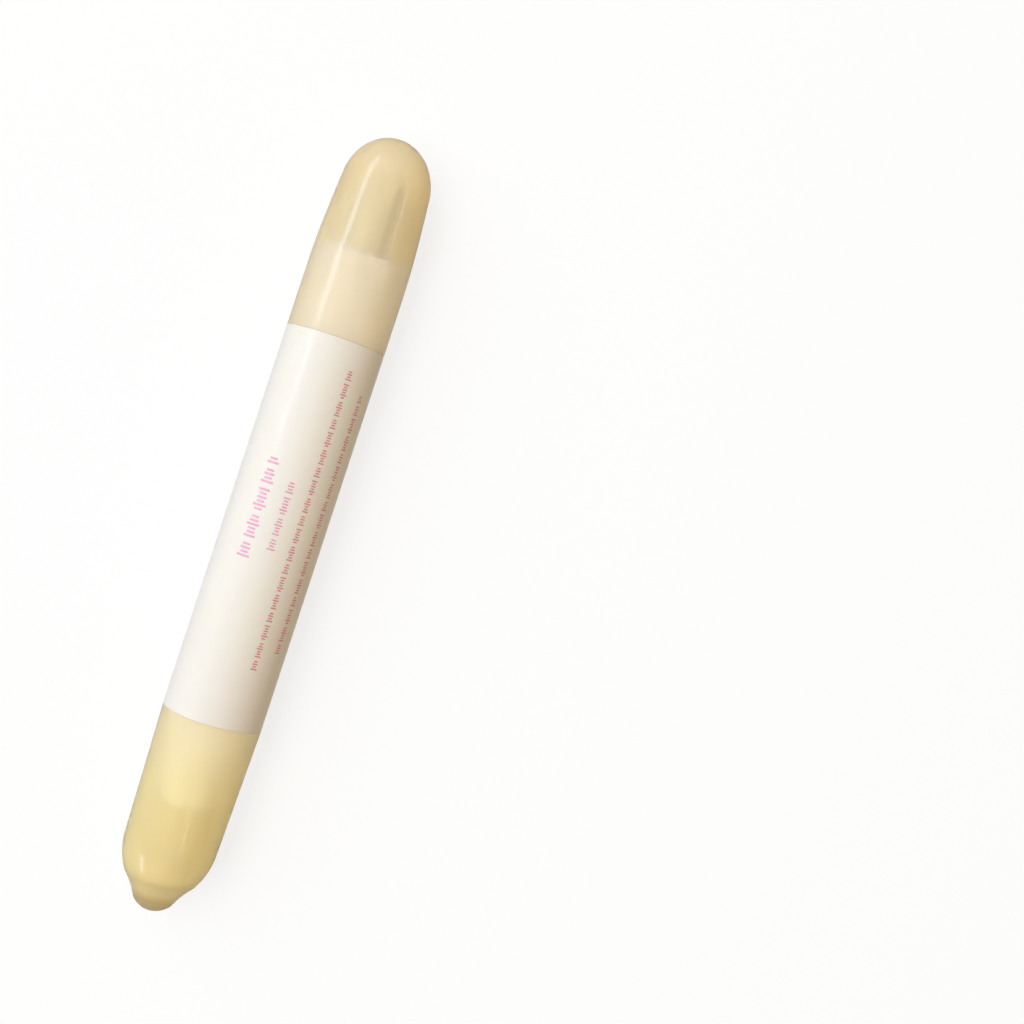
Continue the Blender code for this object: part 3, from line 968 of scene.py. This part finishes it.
def make_floor():
    """Grey paper that takes the pen's shadow, with a glow that makes it nearly white where it is seen."""
    half = FLOOR_SIZE / 2
    corners = [(-half, -half, 0), (half, -half, 0), (half, half, 0), (-half, half, 0)]
    mesh = bpy.data.meshes.new("floor")
    mesh.from_pydata(corners, [], [(0, 1, 2, 3)])
    floor = bpy.data.objects.new("floor", mesh)
    bpy.context.scene.collection.objects.link(floor)
    surface = Surface("floor_paper", Roughness=0.9, Specular_IOR_Level=0.0)
    surface.shader.inputs["Base Color"].default_value = (*FLOOR_BASE, 1.0)
    surface.shader.inputs["Emission Color"].default_value = WHITE
    glow = surface.add("ShaderNodeMath", operation="MULTIPLY")
    surface.link(seen_directly(surface.tree), glow.inputs[0])
    glow.inputs[1].default_value = FLOOR_GLOW
    surface.link(glow.outputs[0], surface.shader.inputs["Emission Strength"])
    mesh.materials.append(surface.material)


def make_world():
    """Even warm room light, and plain white where the room itself is seen."""
    world = bpy.data.worlds.new("room")
    bpy.context.scene.world = world
    world.use_nodes = True
    tree = world.node_tree
    light = tree.nodes["Background"]
    light.inputs["Color"].default_value = (*WORLD_COLOUR, 1.0)
    light.inputs["Strength"].default_value = WORLD_STRENGTH
    white = tree.nodes.new("ShaderNodeBackground")
    white.inputs["Color"].default_value = WHITE
    mix = tree.nodes.new("ShaderNodeMixShader")
    tree.links.new(seen_directly(tree), mix.inputs["Fac"])
    tree.links.new(light.outputs[0], mix.inputs[1])
    tree.links.new(white.outputs[0], mix.inputs[2])
    tree.links.new(mix.outputs[0], tree.nodes["World Output"].inputs["Surface"])


def add_lamp(name, streak, place, size, level, colour=(1.0, 1.0, 1.0)):
    """Rectangular lamp that points at the pen.

    The level is the share of full white to which it lights a white surface that faces it. A lamp that
    is large for its distance reaches about 0.7 of its level.
    """
    place = Vector(place)
    data = bpy.data.lights.new(name, "AREA")
    data.shape = "RECTANGLE"
    data.size, data.size_y = size
    data.energy = level * math.pi**2 * (LAMP_AIM - place).length_squared
    data.color = colour
    lamp = bpy.data.objects.new(name, data)
    bpy.context.scene.collection.objects.link(lamp)
    lamp.visible_glossy = streak
    lamp.visible_diffuse = not streak
    lamp.visible_transmission = not streak
    towards = (LAMP_AIM - place).normalized()
    up = towards.cross(Vector((1, 0, 0))).normalized()
    side = up.cross(towards).normalized()
    turn = Matrix((side, up, -towards)).transposed().to_4x4()
    lamp.matrix_world = Matrix.Translation(place) @ turn


def make_lamps():
    """Sets up the lamps that light the pen, and those that leave a streak."""
    for name, lamp in BROAD_LAMPS.items():
        add_lamp(name, streak=False, **lamp)
    for name, lamp in STREAK_LAMPS.items():
        add_lamp(name, streak=True, **lamp)


def make_camera():
    """Looks straight down, from the height that the curves of the photo's cap mouths give."""
    data = bpy.data.cameras.new("camera")
    data.lens = CAMERA_LENS
    data.sensor_width = CAMERA_SENSOR
    camera = bpy.data.objects.new("camera", data)
    bpy.context.scene.collection.objects.link(camera)
    camera.location = CAMERA_PLACE
    camera.rotation_euler = (0, 0, CAMERA_TURN)
    bpy.context.scene.camera = camera


build_pen()
make_floor()
make_world()
make_lamps()
make_camera()
bpy.context.scene.view_settings.view_transform = "Standard"
